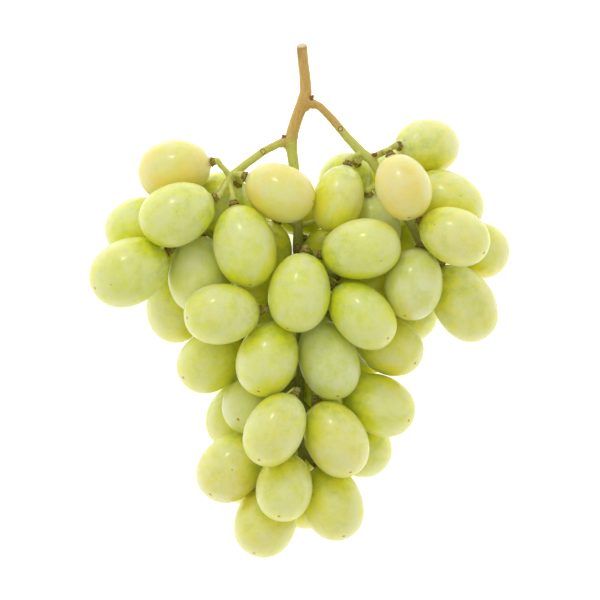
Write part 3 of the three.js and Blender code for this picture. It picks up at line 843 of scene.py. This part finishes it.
def shape_scars(points, marks, relief):
    """Adds the round scars, each with a raised brim and a sunken middle."""
    for x, y, radius, paleness in SCARS:
        near = np.linalg.norm(points[:, :2] - np.array((x, y)) * MM, axis=1) < 0.8 * MM
        if not near.any():
            raise RuntimeError(f"no bark under the scar at {x}, {y}")
        top = points[near][points[near][:, 2].argmax()]
        apart = np.linalg.norm(points - top, axis=1) / (radius * MM)
        brim = ramp(apart, 0.7, 1.05) * (1 - ramp(apart, 1.15, 1.6))
        relief += 0.22 * MM * brim - 0.12 * MM * (1 - ramp(apart, 0.5, 0.9))
        marks["rim"] = np.maximum(marks["rim"], brim)
        marks["collar"] = np.maximum(marks["collar"], brim)
        marks["pale"] = np.maximum(marks["pale"], paleness * (1 - ramp(apart, 0.45, 0.8)))


def brown_stubs(points, marks):
    """Marks the tips of the stubs as corky and reddish."""
    for stub in STUBS:
        tips = np.min([np.linalg.norm(points - np.array(spot[:3]) * MM, axis=1) for spot in stub[1:]], axis=0)
        brown = 1 - ramp(tips, 0.7 * MM, 1.4 * MM)
        marks["collar"] = np.maximum(marks["collar"], brown)
        marks["rim"] = np.maximum(marks["rim"], brown)


def carve_bark(mesh, seats, look, low_edge, slant):
    """Carves the cast bark, and notes on its points what the finish needs."""
    points = points_of(mesh)
    normals = normals_of(mesh)
    along, side, away = nearest_run(points)
    marks = {name: np.zeros(len(points)) for name in ("collar", "rim", "neck", "pale")}
    spread = shape_collars(points, seats, look.flare, marks)
    from_cut = (points - np.array(low_edge)) @ np.array(slant)
    facing = normals @ np.array(slant)
    cut = ramp(from_cut, -0.5 * MM, -0.12 * MM) * ramp(facing, 0.45, 0.8)
    marks["cut"] = cut
    marks["limb"] = 1 - ramp(away, *BARE_REACH)
    # Near the cut the bark is darker reddish brown along its left-facing side and at its lip
    lip = ramp(from_cut, -1.0 * MM, -0.3 * MM) * (1 - cut)
    left_facing_brown = ramp(from_cut, -9.0 * MM, -1.0 * MM) * ramp(normals[:, 0], 0.2, -0.7)
    marks["brown_near_cut"] = np.maximum(0.55 * left_facing_brown, 0.5 * lip)
    relief = shape_bark(points, look, marks, along, side)
    shape_scars(points, marks, relief)
    brown_stubs(points, marks)
    points += normals * relief[:, None] + spread
    mesh.vertices.foreach_set("co", points.ravel())
    mesh.update()
    # The right branch turns green sooner than the main stem
    turned = points[:, 1] - 4 * MM * ramp(points[:, 0], 3 * MM, 8 * MM)
    marks["wood"] = ramp(turned, 45 * MM, 68 * MM)
    marks["shaded"] = 1 - ramp(points[:, 1], 18 * MM, 36 * MM)
    marks["run_along"] = along
    marks["run_round"] = side * marks["limb"]
    marks["bare"] = marks["limb"] * (1 - cut)
    for name in ("wood", "pale", "shaded", "collar", "rim", "brown_near_cut", "cut", "run_along", "run_round", "bare"):
        note(mesh, name, marks[name])


class GROW_OT_stem(bpy.types.Operator):
    """Grow the bark of the stem, with its collars, stubs, scars and cut face"""

    bl_idname = "bunch.grow_stem"
    bl_label = "Grow stem"

    def execute(self, context):
        look = context.scene.stem_look
        shape = merged(frame["nodes"]["stem"])
        stem = BVHTree.FromBMesh(shape)
        web_knees(shape)
        low_edge, slant = cut_end(shape, look.slant)
        bark = cast_bark(shape, look.voxel)
        grapes = [read_grape(frame["nodes"][n], stem) for n in frame["nodes"] if n.startswith("grape_")]
        seats = [(middle + axis * (length / 2 + COLLAR_GAP), axis) for middle, axis, length, _ in grapes]
        carve_bark(bark.data, seats, look, low_edge, slant)
        bark.data.materials.append(stem_material())
        bark.data.shade_smooth()
        dress(bark, "stem", "stem")
        return {"FINISHED"}


def cork_material():
    """Dull reddish brown of the corky spots."""
    look = bpy.context.scene.stem_look
    material, tree, place = new_material("cork")
    colour = blend(tree, ease(tree, noise(tree, place, 500, 2.0), 0.35, 0.65), look.rim, look.wood)
    close_material(tree, {"Base Color": colour, "Roughness": 0.8})
    return material


def cork_tree():
    """The Geometry Nodes tree that sets small flattened corky spots on the bare bark."""
    tree = bpy.data.node_groups.new("corks", "GeometryNodeTree")
    has = name_inputs(tree, Geometry=["Bark"], Float=["Density", "Size"], Int=["Seed"], Material=["Cork"])
    points = add_node(tree, "GeometryNodeDistributePointsOnFaces", {
        "Mesh": has["Bark"], "Selection": calc(tree, "GREATER_THAN", recall(tree, "bare"), 0.6),
        "Density": has["Density"], "Seed": has["Seed"],
    })
    ball = add_node(tree, "GeometryNodeMeshIcoSphere", {"Radius": 1.0, "Subdivisions": 1}).outputs["Mesh"]
    chance = add_node(tree, "FunctionNodeRandomValue", {2: 0.5, 3: 1.0, 8: 3}, data_type="FLOAT").outputs[1]
    wide = times(tree, chance, has["Size"])
    spots = add_node(tree, "GeometryNodeInstanceOnPoints", {
        "Points": points.outputs["Points"], "Instance": ball, "Rotation": points.outputs["Rotation"],
        "Scale": join(tree, wide, times(tree, wide, 1.5), times(tree, wide, 0.55)),
    }).outputs[0]
    close_tree(tree, spots, has["Cork"])
    return tree


class GROW_OT_corks(bpy.types.Operator):
    """Set corky spots on the bare bark"""

    bl_idname = "bunch.grow_corks"
    bl_label = "Grow corky spots"

    def execute(self, context):
        look = context.scene.stem_look
        bark = bpy.data.objects["stem_bark"].data
        area = sum(face.area for face in bark.polygons)
        corks = grow("stem_corks", cork_tree(), {
            "Density": look.spots / area, "Size": look.spot_size, "Seed": 5, "Cork": cork_material(),
        }, bark.copy())
        dress(corks, "stem")
        return {"FINISHED"}


def floor_material(glow):
    """Plain white that shines by itself, but not under the thick of the bunch, where gaps look dark."""
    material, tree, place = new_material("floor_white")
    off = vector_calc(tree, "SUBTRACT", place, DIM_MIDDLE)
    away = measure(tree, vector_calc(tree, "DIVIDE", off, DIM_REACH))
    close_material(tree, {
        "Base Color": (0.9, 0.9, 0.9, 1.0), "Roughness": 0.9,
        "Emission Color": (*WHITE, 1.0), "Emission Strength": ease(tree, away, 0.7, 1.2, 0.0, glow),
    })
    return material


def set_floor(glow):
    """Lays a wide floor just under the bunch."""
    half, level = FLOOR_HALF, FLOOR_LEVEL
    corners = [(-half, -half, level), (half, -half, level), (half, half, level), (-half, half, level)]
    mesh = bpy.data.meshes.new("floor")
    mesh.from_pydata(corners, [], [(0, 1, 2, 3)])
    mesh.materials.append(floor_material(glow))
    floor = bpy.data.objects.new("floor", mesh)
    bpy.context.scene.collection.objects.link(floor)


def area_light(name, place, size, power, colour, at):
    """A round soft light that looks at a point."""
    light = bpy.data.lights.new(name, "AREA")
    light.shape = "DISK"
    light.size = size
    light.energy = power
    light.color = colour
    lamp = bpy.data.objects.new(name, light)
    bpy.context.scene.collection.objects.link(lamp)
    lamp.location = place
    lamp.rotation_euler = (Vector(at) - lamp.location).to_track_quat("-Z", "Y").to_euler()


def white_room(strength):
    """A world that is white all round."""
    world = bpy.data.worlds.new("white room")
    world.use_nodes = True
    background = world.node_tree.nodes["Background"]
    background.inputs["Color"].default_value = (*WHITE, 1.0)
    background.inputs["Strength"].default_value = strength
    bpy.context.scene.world = world


def set_camera(view_width, height, middle_height):
    """Hangs the camera straight over the middle of the photograph, with +Y up in its view."""
    lens = bpy.data.cameras.new("camera")
    lens.sensor_width = 36
    lens.lens = lens.sensor_width * height / view_width
    lens.clip_start = 0.1
    lens.clip_end = 20
    camera = bpy.data.objects.new("camera", lens)
    bpy.context.scene.collection.objects.link(camera)
    camera.location = (*PHOTO_MIDDLE, middle_height + height)
    bpy.context.scene.camera = camera


class SET_OT_stage(bpy.types.Operator):
    """Set the white floor, the soft lights and the camera over the bunch"""

    bl_idname = "bunch.set_stage"
    bl_label = "Set stage"

    def execute(self, context):
        setup = context.scene.stage_setup
        low, high = (Vector(corner) for corner in CAD_BOX)
        middle = (low + high) / 2
        set_floor(setup.floor_glow)
        key_place = middle + KEY_WAY.normalized() * KEY_DISTANCE
        area_light("key", key_place, KEY_SIZE, setup.key_power, (1.0, 0.99, 0.96), middle)
        area_light("fill", middle + FILL_PLACE, FILL_SIZE, setup.fill_power, WHITE, middle)
        white_room(setup.surround)
        set_camera(setup.view_width, setup.camera_height, middle.z)
        context.scene.view_settings.view_transform = "Standard"
        return {"FINISHED"}


class BUNCH_PT_sidebar(bpy.types.Panel):
    """Lists the steps that make the bunch"""

    bl_label = "Bunch of grapes"
    bl_space_type = "VIEW_3D"
    bl_region_type = "UI"
    bl_category = "Grapes"

    def draw(self, context):
        for step in STEPS:
            self.layout.operator(step.bl_idname)
        for group in SETTINGS:
            column = self.layout.column(align=True)
            for name in SETTINGS[group].__annotations__:
                column.prop(getattr(context.scene, group), name)


SETTINGS = {
    "grape_sizes": FruitSizes,
    "grape_skin": SkinColours,
    "stem_look": StemLook,
    "stage_setup": StageSetup,
}
STEPS = [GROW_OT_grapes, GROW_OT_stem, GROW_OT_corks, SET_OT_stage]
CLASSES = [*SETTINGS.values(), *STEPS, BUNCH_PT_sidebar]


def register():
    for kind in CLASSES:
        bpy.utils.register_class(kind)
    for name, group in SETTINGS.items():
        setattr(bpy.types.Scene, name, PointerProperty(type=group))


def unregister():
    for name in SETTINGS:
        delattr(bpy.types.Scene, name)
    for kind in reversed(CLASSES):
        bpy.utils.unregister_class(kind)


def main():
    register()
    bpy.ops.bunch.grow_grapes()
    bpy.ops.bunch.grow_stem()
    bpy.ops.bunch.grow_corks()
    bpy.ops.bunch.set_stage()


if __name__ == "__main__":
    main()
